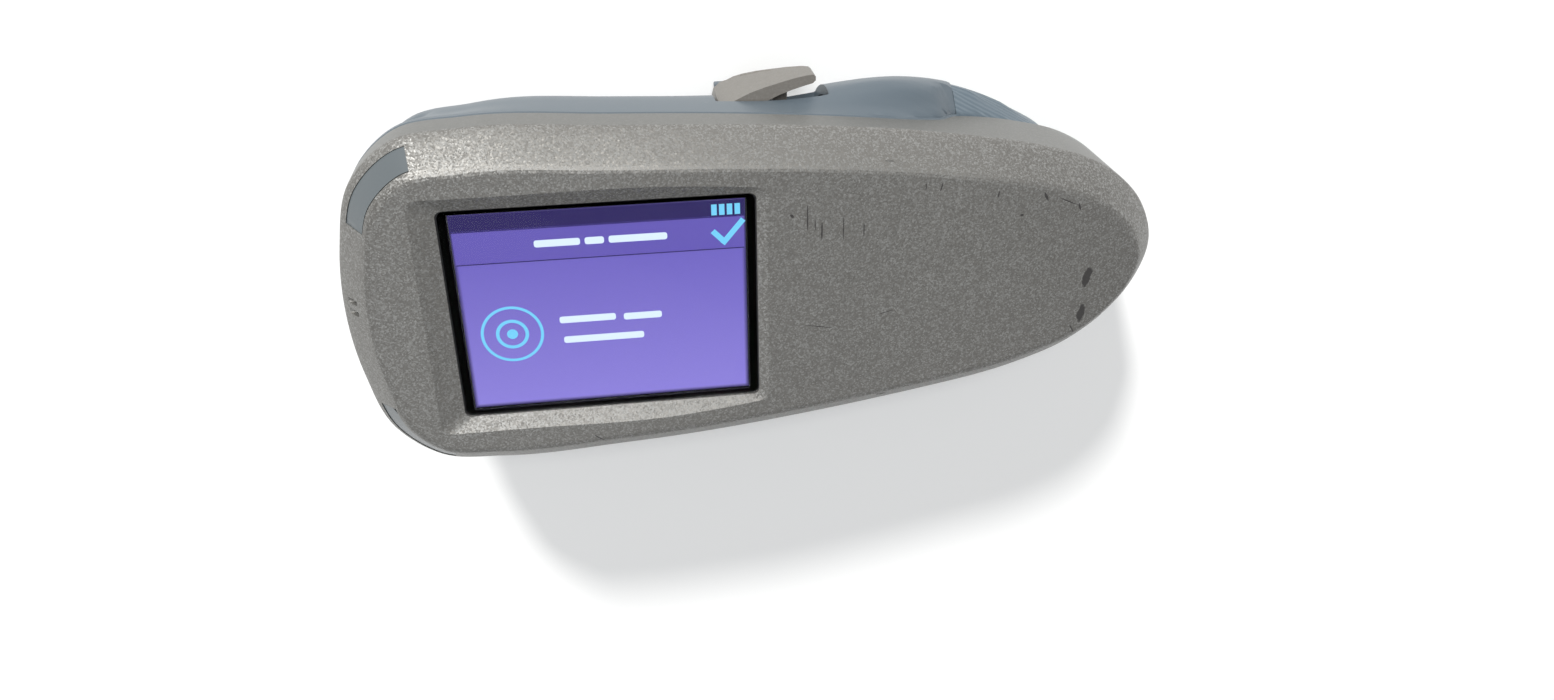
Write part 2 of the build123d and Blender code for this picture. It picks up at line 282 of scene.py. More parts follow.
def lamp(name, kind, place, aim, energy, colour, size=0.5):
    """A lamp at place that looks at aim."""
    data = bpy.data.lights.new(name, kind)
    data.energy = energy
    data.color = colour
    if kind == "AREA":
        data.size = size
    if kind == "SUN":
        data.angle = size
    obj = bpy.data.objects.new(name, data)
    obj.location = place
    obj.rotation_mode = "QUATERNION"
    obj.rotation_quaternion = (Vector(aim) - Vector(place)).to_track_quat("-Z", "Y")
    bpy.context.scene.collection.objects.link(obj)
    return obj


table_bm = bmesh.new()
bmesh.ops.create_grid(table_bm, x_segments=2, y_segments=2, size=3)
table_mesh = bpy.data.meshes.new("table")
table_bm.to_mesh(table_mesh)
table_bm.free()
table = bpy.data.objects.new("table", table_mesh)
bpy.context.scene.collection.objects.link(table)
lights = [
    lamp("low_sun", "SUN", (-0.25, 0.75, 0.45), (0, 0, 0.03), 3.1, (1.0, 0.99, 0.97), 0.12),
    lamp("sky_panel", "AREA", (-0.3, -0.5, 0.7), (0.02, 0, 0.03), 0.8, (0.92, 0.96, 1.0), 0.7),
    lamp("soft_top", "AREA", (-0.05, 0.42, 0.85), (0.03, 0, 0.03), 3.6, (1.0, 1.0, 1.0), 0.25),
]
world = bpy.data.worlds.new("world")
world.use_nodes = True
world.node_tree.nodes["Background"].inputs["Color"].default_value = (0.97, 0.985, 1.0, 1)
world.node_tree.nodes["Background"].inputs["Strength"].default_value = 0.4
bpy.context.scene.world = world
bpy.context.scene.view_settings.view_transform = "Standard"
print("camera", [round(c, 3) for c in camera.location])

# %% [markdown]
# ## Materials
# `finish` makes a Principled material and `link` joins sockets. Three shared groups do the work: `sparkle` gives
# flakes of different brightness, `speckle` gives sparse dust and nicks, and `grain` gives a fine moulded bump.

# %% Material helpers and groups
def finish(name, colour, rough=0.5, metal=0.0, **extra):
    """A Principled material, with its node tree and shader."""
    material = bpy.data.materials.new(name)
    material.use_nodes = True
    shader = material.node_tree.nodes["Principled BSDF"]
    shader.inputs["Base Color"].default_value = (*colour, 1)
    shader.inputs["Roughness"].default_value = rough
    shader.inputs["Metallic"].default_value = metal
    for key, value in extra.items():
        shader.inputs[key.replace("_", " ")].default_value = value
    return material


def node(tree, kind, **values):
    """A new node; values are set by input name, or by attribute where there is no such input."""
    made = tree.nodes.new(kind)
    for key, value in values.items():
        if hasattr(made, key):
            setattr(made, key, value)
        else:
            made.inputs[key.replace("_", " ")].default_value = value
    return made


def link(tree, source, target):
    tree.links.new(source, target)


def new_group(name, inputs, outputs):
    """An empty node group with float inputs and outputs, ready to fill."""
    group = bpy.data.node_groups.new(name, "ShaderNodeTree")
    for label, value in inputs.items():
        group.interface.new_socket(label, in_out="INPUT", socket_type="NodeSocketFloat").default_value = value
    for label, kind in outputs.items():
        group.interface.new_socket(label, in_out="OUTPUT", socket_type=kind)
    return group, group.nodes.new("NodeGroupInput"), group.nodes.new("NodeGroupOutput")


def use_group(material, group, **values):
    made = material.node_tree.nodes.new("ShaderNodeGroup")
    made.node_tree = group
    for key, value in values.items():
        made.inputs[key.replace("_", " ")].default_value = value
    return made


sparkle, s_in, s_out = new_group(
    "sparkle", {"Density": 1400.0, "Spread": 0.3}, {"Flake": "NodeSocketFloat", "Normal": "NodeSocketVector"}
)
where = node(sparkle, "ShaderNodeTexCoord")
cells = node(sparkle, "ShaderNodeTexVoronoi")
link(sparkle, where.outputs["Object"], cells.inputs["Vector"])
link(sparkle, s_in.outputs["Density"], cells.inputs["Scale"])
white = node(sparkle, "ShaderNodeSeparateColor")
link(sparkle, cells.outputs["Color"], white.inputs["Color"])
link(sparkle, white.outputs["Red"], s_out.inputs["Flake"])
flat = node(sparkle, "ShaderNodeNewGeometry")
tip = node(sparkle, "ShaderNodeVectorMath", operation="SUBTRACT")
tip.inputs[1].default_value = (0.5, 0.5, 0.5)
link(sparkle, cells.outputs["Color"], tip.inputs[0])
scaled = node(sparkle, "ShaderNodeVectorMath", operation="SCALE")
link(sparkle, tip.outputs["Vector"], scaled.inputs["Vector"])
link(sparkle, s_in.outputs["Spread"], scaled.inputs["Scale"])
summed = node(sparkle, "ShaderNodeVectorMath", operation="ADD")
link(sparkle, scaled.outputs["Vector"], summed.inputs[0])
link(sparkle, flat.outputs["Normal"], summed.inputs[1])
unit = node(sparkle, "ShaderNodeVectorMath", operation="NORMALIZE")
link(sparkle, summed.outputs["Vector"], unit.inputs[0])
link(sparkle, unit.outputs["Vector"], s_out.inputs["Normal"])

speckle, k_in, k_out = new_group("speckle", {"Scale": 90.0, "Amount": 0.72}, {"Mask": "NodeSocketFloat"})
where = node(speckle, "ShaderNodeTexCoord")
noise = node(speckle, "ShaderNodeTexNoise", Detail=8.0, Roughness=0.7)
link(speckle, where.outputs["Object"], noise.inputs["Vector"])
link(speckle, k_in.outputs["Scale"], noise.inputs["Scale"])
over = node(speckle, "ShaderNodeMapRange", To_Min=0.0, To_Max=1.0)
link(speckle, noise.outputs["Fac"], over.inputs["Value"])
link(speckle, k_in.outputs["Amount"], over.inputs["From Min"])
more = node(speckle, "ShaderNodeMath", operation="ADD")
more.inputs[1].default_value = 0.03
link(speckle, k_in.outputs["Amount"], more.inputs[0])
link(speckle, more.outputs["Value"], over.inputs["From Max"])
link(speckle, over.outputs["Result"], k_out.inputs["Mask"])

grain, g_in, g_out = new_group("grain", {"Scale": 2500.0, "Strength": 0.15}, {"Normal": "NodeSocketVector"})
where = node(grain, "ShaderNodeTexCoord")
noise = node(grain, "ShaderNodeTexNoise", Detail=3.0)
link(grain, where.outputs["Object"], noise.inputs["Vector"])
link(grain, g_in.outputs["Scale"], noise.inputs["Scale"])
bump = node(grain, "ShaderNodeBump", Distance=0.0002)
link(grain, noise.outputs["Fac"], bump.inputs["Height"])
link(grain, g_in.outputs["Strength"], bump.inputs["Strength"])
link(grain, bump.outputs["Normal"], g_out.inputs["Normal"])


def blend_colour(material, mask, under, over):
    """Base Color goes from under to over with the mask. Either may be a colour or a socket."""
    tree = material.node_tree
    mix = node(tree, "ShaderNodeMix", data_type="RGBA")
    link(tree, mask, mix.inputs["Factor"])
    for socket, value in ((mix.inputs[6], under), (mix.inputs[7], over)):
        if isinstance(value, tuple):
            socket.default_value = (*value, 1)
        else:
            link(tree, value, socket)
    return mix.outputs[2]


def plain(name, colour, rough, metal=0.0, dust=0.12, bump_scale=2500.0, bump_strength=0.15, **extra):
    """A finish with moulded grain and a little dust."""
    material = finish(name, colour, rough, metal, **extra)
    tree = material.node_tree
    shader = tree.nodes["Principled BSDF"]
    specks = use_group(material, speckle, Scale=140.0, Amount=0.66)
    weight = node(tree, "ShaderNodeMath", operation="MULTIPLY")
    weight.inputs[1].default_value = dust
    link(tree, specks.outputs["Mask"], weight.inputs[0])
    lighter = tuple(min(1, c * 0.6 + 0.3) for c in colour)
    link(tree, blend_colour(material, weight.outputs["Value"], colour, lighter), shader.inputs["Base Color"])
    skin = use_group(material, grain, Scale=bump_scale, Strength=bump_strength)
    link(tree, skin.outputs["Normal"], shader.inputs["Normal"])
    return material


# %% [markdown]
# ## The paint
# The front shell is warm grey with metal flakes. Two dark chips near the tail and a few scratches show the darker
# plastic beneath. Each mark is a stretched distance field in Object coordinates, roughened by noise.

# %% Paint with chips and scratches
MARKS = [  # x, y, half length, half width (mm), turn (degrees)
    (103.7, -2.6, 2.9, 1.1, 80),
    (103.4, -11.3, 2.4, 1.0, 82),
    (41.2, 17.0, 3.2, 0.16, 90),
    (44.2, 14.0, 2.3, 0.18, 90),
    (42.8, 15.4, 1.4, 0.12, 92),
    (48.7, 14.3, 3.2, 0.12, 90),
    (53.0, 13.4, 1.8, 0.14, 90),
    (38.0, 17.7, 0.5, 0.3, 140),
    (65.7, 21.6, 0.8, 0.14, 88),
    (69.0, 21.4, 1.0, 0.16, 75),
    (81.3, 18.8, 0.8, 0.18, 80),
    (86.9, 13.7, 0.4, 0.3, 0),
    (91.9, 17.4, 1.2, 0.32, 118),
    (97.3, 15.7, 2.6, 0.14, 155),
    (99.8, 14.4, 0.9, 0.22, 110),
    (101.6, -14.9, 1.2, 0.18, 120),
    (43.8, -7.8, 3.2, 0.1, 168),
    (58.4, -6.0, 1.8, 0.1, 12),
    (-3.7, -29.9, 1.6, 0.14, 140),
]


def mark_mask(material):
    """1 inside any of the MARKS, with a ragged edge."""
    tree = material.node_tree
    where = node(tree, "ShaderNodeTexCoord")
    rough = node(tree, "ShaderNodeTexNoise", Scale=900.0, Detail=4.0)
    link(tree, where.outputs["Object"], rough.inputs["Vector"])
    total = None
    for x, y, length, width, angle in MARKS:
        shift = node(tree, "ShaderNodeMapping", vector_type="TEXTURE")
        shift.inputs["Location"].default_value = (x * MM, y * MM, 0)
        shift.inputs["Rotation"].default_value = (0, 0, math.radians(angle))
        shift.inputs["Scale"].default_value = (length * MM, width * MM, 1)
        link(tree, where.outputs["Object"], shift.inputs["Vector"])
        far = node(tree, "ShaderNodeVectorMath", operation="MULTIPLY")
        far.inputs[1].default_value = (1, 1, 0)
        link(tree, shift.outputs["Vector"], far.inputs[0])
        size = node(tree, "ShaderNodeVectorMath", operation="LENGTH")
        link(tree, far.outputs["Vector"], size.inputs[0])
        ragged = node(tree, "ShaderNodeMath", operation="ADD")
        link(tree, size.outputs["Value"], ragged.inputs[0])
        link(tree, rough.outputs["Fac"], ragged.inputs[1])
        inside = node(tree, "ShaderNodeMapRange", From_Min=1.5, From_Max=1.35, To_Min=0.0, To_Max=1.0)
        link(tree, ragged.outputs["Value"], inside.inputs["Value"])
        if total is None:
            total = inside.outputs["Result"]
        else:
            both = node(tree, "ShaderNodeMath", operation="MAXIMUM")
            link(tree, total, both.inputs[0])
            link(tree, inside.outputs["Result"], both.inputs[1])
            total = both.outputs["Value"]
    return total


def flake_paint(name, dark, light, rough, density, spread, marks=False, metal=0.55):
    """Paint whose flakes vary between dark and light and face slightly different ways."""
    material = finish(name, dark, rough, metal)
    tree = material.node_tree
    shader = tree.nodes["Principled BSDF"]
    flakes = use_group(material, sparkle, Density=density, Spread=spread)
    curve = node(tree, "ShaderNodeMath", operation="POWER")
    curve.inputs[1].default_value = 2.2
    link(tree, flakes.outputs["Flake"], curve.inputs[0])
    colour = blend_colour(material, curve.outputs["Value"], dark, light)
    if marks:
        mask = mark_mask(material)
        colour = blend_colour(material, mask, colour, (0.035, 0.033, 0.032))
        metal_off = node(tree, "ShaderNodeMath", operation="MULTIPLY_ADD")
        metal_off.inputs[1].default_value = -metal
        metal_off.inputs[2].default_value = metal
        link(tree, mask, metal_off.inputs[0])
        link(tree, metal_off.outputs["Value"], shader.inputs["Metallic"])
    link(tree, colour, shader.inputs["Base Color"])
    link(tree, flakes.outputs["Normal"], shader.inputs["Normal"])
    return material


front_paint = flake_paint("front_paint", (0.155, 0.15, 0.14), (0.30, 0.30, 0.29), 0.46, 3400.0, 0.26, marks=True)
# painted shade: the upright band under the shoulder is the same paint as the front shell; this darker, duller copy
# stands in for the shade on that side wall
band_shade_paint = flake_paint("band_shade_paint", (0.125, 0.125, 0.118), (0.15, 0.149, 0.141), 0.4, 3000.0, 0.05, metal=0.25)
trigger_paint = flake_paint("trigger_paint", (0.16, 0.15, 0.135), (0.185, 0.175, 0.16), 0.45, 3000.0, 0.05, metal=0.1)
back_plastic = plain("back_plastic", (0.085, 0.108, 0.128), 0.38, bump_strength=0.08)
light_lens = plain("light_lens", (0.095, 0.11, 0.118), 0.3, dust=0.05, bump_strength=0.02)
black_rubber = plain("black_rubber", (0.02, 0.02, 0.022), 0.7)
black_plastic = plain("black_plastic", (0.03, 0.03, 0.033), 0.5)
cream_plastic = plain("cream_plastic", (0.62, 0.57, 0.45), 0.5)
bright_steel = plain("bright_steel", (0.75, 0.75, 0.76), 0.28, 1.0, bump_strength=0.05)
dark_steel = plain("dark_steel", (0.12, 0.12, 0.125), 0.4, 1.0, bump_strength=0.05)
amber_film = plain("amber_film", (0.5, 0.24, 0.05), 0.3, bump_strength=0.02)


def banded(name, colour, rough, metal, period, depth, axis="Z"):
    """A finish with fine ribs or windings across one axis, `period` millimetres apart."""
    material = plain(name, colour, rough, metal, bump_strength=0.05)
    tree = material.node_tree
    where = node(tree, "ShaderNodeTexCoord")
    wave = node(tree, "ShaderNodeTexWave", bands_direction=axis, Scale=math.pi / (10 * period * MM))
    link(tree, where.outputs["Object"], wave.inputs["Vector"])
    ribs = node(tree, "ShaderNodeBump", Strength=depth, Distance=0.0003)
    link(tree, wave.outputs["Fac"], ribs.inputs["Height"])
    shader = tree.nodes["Principled BSDF"]
    link(tree, shader.inputs["Normal"].links[0].from_socket, ribs.inputs["Normal"])
    link(tree, ribs.outputs["Normal"], shader.inputs["Normal"])
    return material


cover_plastic = banded("cover_plastic", (0.105, 0.138, 0.165), 0.4, 0.0, 0.9, 0.35)
copper_wire = banded("copper_wire", (0.55, 0.22, 0.09), 0.3, 1.0, 0.4, 0.8)
board_green = plain("board_green", (0.02, 0.14, 0.06), 0.35, bump_strength=0.05)
cell_sleeve = plain("cell_sleeve", (0.05, 0.06, 0.08), 0.3, bump_strength=0.03)
display_glass = plain("display_glass", (0.01, 0.01, 0.015), 0.15, dust=0.03, bump_strength=0.0)
table_top = plain("table_top", (0.93, 0.93, 0.925), 0.8, dust=0.0, bump_strength=0.03)
table.data.materials.append(table_top)
window_glass = finish("window_glass", (1, 1, 1), 0.03, Transmission_Weight=1.0, IOR=1.12)
print("materials", len(bpy.data.materials))

# %% [markdown]
# ## Shells
# Each shell is built as an outer solid, then cut by an inner solid so that it is hollow like the real moulding. The
# shoulder is a lean of 6 mm by 8 mm with crisp creases. The window recess, the sound slots, the parting groove and
# the trigger pocket are cut afterwards.

# %% Front shell
WALL = 2.2
POSTS = ((-38.5, 22), (-38.5, -22), (58, 24.5), (58, -24.5))
LIGHT_STRIP = (1.5, 5.0)  # the status lights lie between these two insets
LENS_DEPTH = 1.3
COVER_X = 78.0  # the battery cover starts here
COVER_GAP = 0.25
FRONT_RINGS = [  # (inset, drop below the face)
    (0.0, 8.0), (0.12, 7.45), (0.5, 6.8), (2.0, 4.9), (3.8, 2.75), (5.2, 1.05), (5.8, 0.45), (6.4, 0.12), (7.0, 0.0),
]


def front_solid(wall):
    """Outside of the front shell, or the room inside it."""
    low = ring(wall)
    rings = []
    if wall:
        rings.append(level(low, part_z(low[:, 0]) - 4))
        rings.append(level(low, part_z(low[:, 0]) - 3))
    else:
        edge = ring(0.35)
        rings.append(level(edge, part_z(edge[:, 0]) + 0.1))
        rings.append(level(low, part_z(low[:, 0]) + 0.45))
    for inset, drop in FRONT_RINGS:
        plan = ring(wall + inset)
        tall = face_z(plan[:, 0]) - part_z(plan[:, 0])
        rings.append(level(plan, face_z(plan[:, 0]) - drop * np.clip((tall - 1.4) / 9.6, 0, 1) - wall))
    low_z = -4 if wall else 0.1
    return form(rings, lambda x: part_z(x) + low_z, lambda x: face_z(x) - wall)


recess = rounded_plate((0, 0), (61.9, 45.9), 1.6, 45.3, 48.7, top_size=(82.0, 58.1))
opening = rounded_plate((0, 0), (62.0, 46.0), 1.4, 38.0, 47.5)
pocket = rounded_box((-33.6, -25.3, 36.0), (33.6, 25.3, 44.6))
slots = [rounded_box((-50.9, y - 0.6, 41.5), (-48.5, y + 0.6, 49), 0.25) for y in (4.2, 1.8)]


def corner_strip(side, grow):
    """An upright prism that follows the outline round one nose corner, between the insets of LIGHT_STRIP."""
    near, far = LIGHT_STRIP
    arc = [p for p in range(AROUND // 2) if 19.5 - grow < OUTLINE[p, 1] and OUTLINE[p, 0] < -34.5 + grow]
    bm = bmesh.new()
    bmesh.ops.create_grid(bm, x_segments=len(arc) - 1, y_segments=1, size=0.5)
    inner, outer = ring(far + grow), ring(near - grow)
    for v in bm.verts:
        step = round((v.co.x + 0.5) * (len(arc) - 1))
        x, y = (inner if v.co.y > 0 else outer)[arc[step]]
        v.co = Vector((x, y * side, 36)) * MM
    lifted = bmesh.ops.extrude_face_region(bm, geom=bm.faces[:])["geom"]
    for v in lifted:
        if isinstance(v, bmesh.types.BMVert):
            v.co.z = 55 * MM
    return bm


skins = [cut(corner_strip(side, 0.12), [front_solid(LENS_DEPTH)]) for side in (1, -1)]
front_bm = cut(front_solid(0), [front_solid(WALL), recess, opening, pocket] + slots + skins)
for side, name in ((1, "status_light_left"), (-1, "status_light_right")):
    lens_bm = cut(corner_strip(side, 0), [front_solid(0.1)], "INTERSECT")
    lens_bm = cut(lens_bm, [front_solid(LENS_DEPTH)])
    finished(lens_bm, name + "_finish", "housing", light_lens, [name], 25)
for x, y in POSTS:
    rod((x, y, 32.1), (x, y, float(face_z(x)) - 1.5), 2.8, into=front_bm)
front = finished(front_bm, "front_shell_finish", "housing", front_paint, ["front_shell"], 9)
front.data.materials.append(band_shade_paint)
# the sideways faces of the band take the darker copy of the paint, which is painted shade, not a second finish
for face in front.data.polygons:
    c = face.center / MM
    if c.z < float(face_z(c.x)) - 8.3 and abs(face.normal.z) < 0.35:  # the upright band under the shoulder
        face.material_index = 1
print("front shell", len(front.data.polygons), "faces")

# %% [markdown]
# The back shell follows the same outline at the parting line, swells where the palm closes round it, then rolls in
# to a flat base. A scooped groove runs round the nose. One plane at `COVER_X` splits off the battery cover.

# %% Back shell and battery cover
# lean and palm swell at each height, then the middle and spread of the swell along the grip
BACK_Z = [1, 1.6, 3, 6.5, 10, 14, 18, 21, 24, 28.5, 34]
BACK_LEAN = [16, 13.2, 10.6, 6.6, 4.0, 2.0, 0.7, 0.3, 0.1, 0.0, 0.0]
BACK_SWELL = [7, 7.4, 7.9, 8.2, 7.7, 7.1, 6.4, 5.8, 3.8, 0.8, 0.0]
PALM_Z, PALM_MIDDLE, PALM_SPREAD = [1, 6.5, 14, 21, 34], [78, 77, 73, 65, 64], [33, 33, 29, 19, 18]


def back_solid(wall, top_gap=0.0):
    """Outside of the back shell (or of the cover, which is a little smaller), or the room inside it."""
    inner = wall > 1
    rings = []
    heights = [1.0, 1.3, 1.9, 2.8, 4, 5.5, 7.5, 10, 12.5, 15, 17, 19, 20, 21, 22, 23, 24, 25.5, 27, 28.5, 30]
    if inner:
        heights = [3.4] + [h for h in heights if h > 3.5] + [38]
    for h in heights:
        lean = float(smooth_through(BACK_Z, BACK_LEAN, h))
        under = np.clip((part_z(OUTLINE[:, 0]) - (4 if inner else 0) - h) / 5.5, 0, 1)
        swell = float(smooth_through(BACK_Z, BACK_SWELL, h)) * under
        nose = 0.5 - 0.5 * np.tanh((OUTLINE[:, 0] + 34) / 1.6)
        scoop = 1.5 * nose * math.exp(-(((h - 21.5) / 2.6) ** 2)) * (0 if inner else 1)
        cheek = 1.3 * (0.5 - 0.5 * np.tanh((OUTLINE[:, 0] + 22) / 9)) * max(0, min(1, (30 - h) / 5))
        palm = np.interp(h, PALM_Z, PALM_MIDDLE), np.interp(h, PALM_Z, PALM_SPREAD)
        plan = ring(wall + scoop + cheek, lean, swell, *palm)
        ceiling = part_z(plan[:, 0]) - 0.9 - 0.05 * (30 - h)
        z = h if inner else np.minimum(h, ceiling)
        rings.append(level(plan, z))
    if not inner:
        for inset, drop in ((0.0, 0.5), (0.3, 0.1)):
            plan = ring(wall + inset, 0, 0)
            rings.append(level(plan, part_z(plan[:, 0]) - drop - top_gap))
    low_z = 3.4 if inner else 1.0
    return form(rings, lambda x: low_z, lambda x: 38.0 if inner else part_z(x) - 0.1 - top_gap)


def keep_side(bm, x, tail):
    """The part of bm on one side of X = x, closed across the cut."""
    side = rounded_box((x, -80, -20), (200, 80, 80)) if tail else rounded_box((-200, -80, -20), (x, 80, 80))
    return cut(bm, [side], "INTERSECT")


hollow = back_solid(WALL)
trigger_well = rounded_box((25.6, 26.6, 6.0), (49.6, 50, 22.8), 0.5)
holes = [rod((x, y, -5), (x, y, 8), 2.5) for x, y in POSTS]
shell_bm = keep_side(cut(back_solid(0), [hollow, trigger_well] + holes), COVER_X, False)
for x, y in POSTS:
    rod((x, y, 8), (x, y, 31), 3.6, into=shell_bm)
for z_low, z_high in ((3.6, 6.0), (22.8, 25.2)):
    rounded_box((27.0, 25.1, z_low), (32.0, 33.7, z_high), 0.3, into=shell_bm)
back = finished(shell_bm, "back_shell_finish", "housing", back_plastic, ["back_shell"], 30)
cover_bm = keep_side(cut(back_solid(0.45, 0.3), [back_solid(WALL)]), COVER_X + COVER_GAP, True)
rounded_box((99.6, -12, 3), (101.6, 12, 17.5), 0.3, into=cover_bm)
cover = finished(cover_bm, "battery_cover_finish", "cover", cover_plastic, ["battery_cover"], 30)
print("back shell", len(back.data.polygons), "cover", len(cover.data.polygons))

# %% [markdown]
# ## Trigger
# The paddle is one plan outline drawn up 16 mm, with its lower edge cut on a slant so that it narrows towards the
# free end. Two faint grip grooves cross its root. It turns on the steel pin at its nose-side end.

# %% Trigger paddle
PADDLE = [
    (28.2, 34.3), (29.5, 34.6), (31, 35.3), (33, 36.2), (36, 37.2), (39, 38), (42, 38.75), (44.8, 39.3), (46.3, 39.4),
    (46.8, 39.0), (46.8, 38.2), (46.2, 37.6), (44.6, 37.2), (41.8, 36.4), (39, 35.4), (36.6, 34.3), (35, 33),
    (33.4, 31), (32.4, 29.8), (31, 28.7), (29.5, 28.3), (27.6, 28.9), (26.5, 30.4), (26.3, 31.6), (26.7, 33.0),
]
PADDLE_Z = (6.5, 22.4)
SLANT = math.atan2(9.2, 15)
paddle = bmesh.new()
corners = bmesh.ops.create_circle(paddle, cap_ends=True, segments=len(PADDLE), radius=1)["verts"]
for v, (x, y) in zip(corners, PADDLE):
    v.co = Vector((x, y, PADDLE_Z[0])) * MM
for v in bmesh.ops.extrude_face_region(paddle, geom=paddle.faces[:])["geom"]:
    if isinstance(v, bmesh.types.BMVert):
        v.co.z = PADDLE_Z[1] * MM
wedge = bmesh.new()
place = Matrix.Translation(Vector((31, 35, 6.4)) * MM) @ Matrix.Rotation(-SLANT, 4, "Y")
place = place @ Matrix.Translation((0, 0, -30 * MM))
bmesh.ops.create_cube(wedge, size=60 * MM, matrix=place)
grooves = [rod((32.4, 36.35, 8.4), (36.2, 37.65, 10.9), 0.5), rod((35.4, 37.4, 9.6), (38.6, 38.3, 12.4), 0.5)]
gap = rod((29.5, 31.4, 13), (29.5, 31.4, 18), 2.5)
bore = rod((29.5, 31.4, 0), (29.5, 31.4, 40), 1.25)
paddle = cut(paddle, [wedge, gap, bore] + grooves)
rounded_box((38.5, 29.5, 14.1), (41.5, 36.2, 17.5), 0.3, into=paddle)
paddle_obj = finished(paddle, "trigger_finish", "trigger", trigger_paint, ["trigger"], 30)
soften = paddle_obj.modifiers.new("soften", "BEVEL")
soften.width = 0.45 * MM
soften.segments = 3
soften.limit_method = "ANGLE"
soften.angle_limit = math.radians(45)
print("trigger", len(paddle_obj.data.polygons), "faces")

# %% [markdown]
# ## Cells and small board parts
# Each cell is a plain sleeve with steel ends and a raised contact. The boards carry small parts placed with a fixed
# seed, so that every run gives the same layout.

# %% Cells
for name, side, front_end in (("cell_left", 7.8, 1), ("cell_right", -7.8, -1)):
    sleeve = rod((47.9, side, 17), (96.1, side, 17), 7.1, 64)
    rims = [e for e in sleeve.edges if abs(e.verts[0].co.x - e.verts[1].co.x) < 1e-6]
    bmesh.ops.bevel(sleeve, geom=rims, offset=0.5 * MM, segments=3, profile=0.5, affect="EDGES", material=-1)
    finished(sleeve, name + "_sleeve", "housing", cell_sleeve, [name])
    ends = rod((47.7, side, 17), (47.95, side, 17), 6.2, 48)
    rod((96.05, side, 17), (96.3, side, 17), 6.2, 48, into=ends)
    tip_x = 96.2 if front_end > 0 else 46.3
    rod((tip_x, side, 17), (tip_x + 1.5, side, 17), 2.7, 32, into=ends)
    finished(ends, name + "_ends", "housing", bright_steel)

# %% Small parts on the boards
random = np.random.default_rng(7)
KINDS = [((1.6, 0.8, 0.5), cream_plastic), ((2.0, 1.2, 0.8), black_plastic), ((1.0, 0.5, 0.4), bright_steel)]
BOARDS = {  # low corner, high corner, the face's height, which way parts stand
    "main_board_parts": ((-30, -22), (30, 22), 36.0, -1),
    "reader_board_parts": ((-26, -11), (16, 11), 21.2, 1),
}
BLOCKED = [(-16, -9, 20, 9), (-36, -7, -22, 7), (20, -11, 29, 11), (21, 17, 27, 23), (21, -23, 27, -17)]
for name, (low, high, height, way) in BOARDS.items():
    for kind, ((length, width, tall), material) in enumerate(KINDS):
        parts = bmesh.new()
        for _ in range(26):
            x, y = random.uniform(low, high)
            if any(a < x < c and b < y < d for a, b, c, d in BLOCKED):
                continue
            if random.random() < 0.5:
                size = (length, width)
            else:
                size = (width, length)
            z = sorted((height, height + way * tall))
            low_corner = (x - size[0] / 2, y - size[1] / 2, z[0])
            rounded_box(low_corner, (x + size[0] / 2, y + size[1] / 2, z[1]), into=parts)
        finished(parts, f"{name}_{kind}", "housing", material)
print("cells and board parts done")

# %% [markdown]
# ## Other nodes
# The remaining CAD nodes keep their shape and get a finish by name.

# %% Finishes for CAD nodes
KEEP = {
    "display_window": window_glass,
    "display_gasket": black_rubber, "lcd_panel": display_glass, "lcd_backlight": bright_steel,
    "display_ribbon": amber_film, "main_board": board_green, "reader_board": board_green,
    "switch_board": board_green, "ribbon_socket": cream_plastic, "board_connector": black_plastic,
    "processor_chip": black_plastic, "memory_chip": black_plastic, "reader_chip": black_plastic,
    "trigger_switch": black_plastic, "switch_plunger": cream_plastic, "status_led_left": cream_plastic,
    "status_led_right": cream_plastic, "buzzer": black_plastic, "antenna_bobbin": cream_plastic,
    "antenna_coil": copper_wire, "trigger_pin": bright_steel,
    "trigger_spring": bright_steel, "battery_tray": black_plastic, "contact_plate": bright_steel,
    "cover_contact": bright_steel, "contact_spring_left": bright_steel, "contact_spring_right": bright_steel,
    "pad_nose": black_rubber, "pad_head": black_rubber,
    "pad_grip": black_rubber, "screw_nose_left": dark_steel, "screw_nose_right": dark_steel,
    "screw_grip_left": dark_steel, "screw_grip_right": dark_steel,
}
for name, material in KEEP.items():
    nodes[name].data.materials.clear()
    nodes[name].data.materials.append(material)
print("finished CAD nodes", len(KEEP))

# %% [markdown]
# ## Display picture
# The lit area is one thin sheet with a violet gradient that darkens towards its rim. The marks on it are separate
# thin plates: plain bars where words would be, a level meter, a tick and a target of rings.

# %% Display picture
def glow(name, colour, strength=1.0):
    """A lit colour that also takes a little reflection."""
    material = finish(name, (0.004, 0.004, 0.006), 0.5, Specular_IOR_Level=0.15)
    shader = material.node_tree.nodes["Principled BSDF"]
    shader.inputs["Emission Color"].default_value = (*colour, 1)
    shader.inputs["Emission Strength"].default_value = strength
    return material


lit_field = glow("lit_field", (0.2, 0.15, 0.6))
tree = lit_field.node_tree
where = node(tree, "ShaderNodeTexCoord")
axes = node(tree, "ShaderNodeSeparateXYZ")
link(tree, where.outputs["Object"], axes.inputs["Vector"])
rise = node(tree, "ShaderNodeMapRange", From_Min=-21.6 * MM, From_Max=18 * MM)
link(tree, axes.outputs["Y"], rise.inputs["Value"])
field_colour = blend_colour(lit_field, rise.outputs["Result"], (0.27, 0.225, 0.72), (0.145, 0.115, 0.51))
for axis, half in (("X", 28.8), ("Y", 21.6)):
    far = node(tree, "ShaderNodeMath", operation="ABSOLUTE")
    link(tree, axes.outputs[axis], far.inputs[0])
    fade = node(tree, "ShaderNodeMapRange", From_Min=(half - 0.9) * MM, From_Max=half * MM)
    fade.interpolation_type = "SMOOTHSTEP"
    link(tree, far.outputs["Value"], fade.inputs["Value"])
    field_colour = blend_colour(lit_field, fade.outputs["Result"], field_colour, (0.05, 0.04, 0.16))
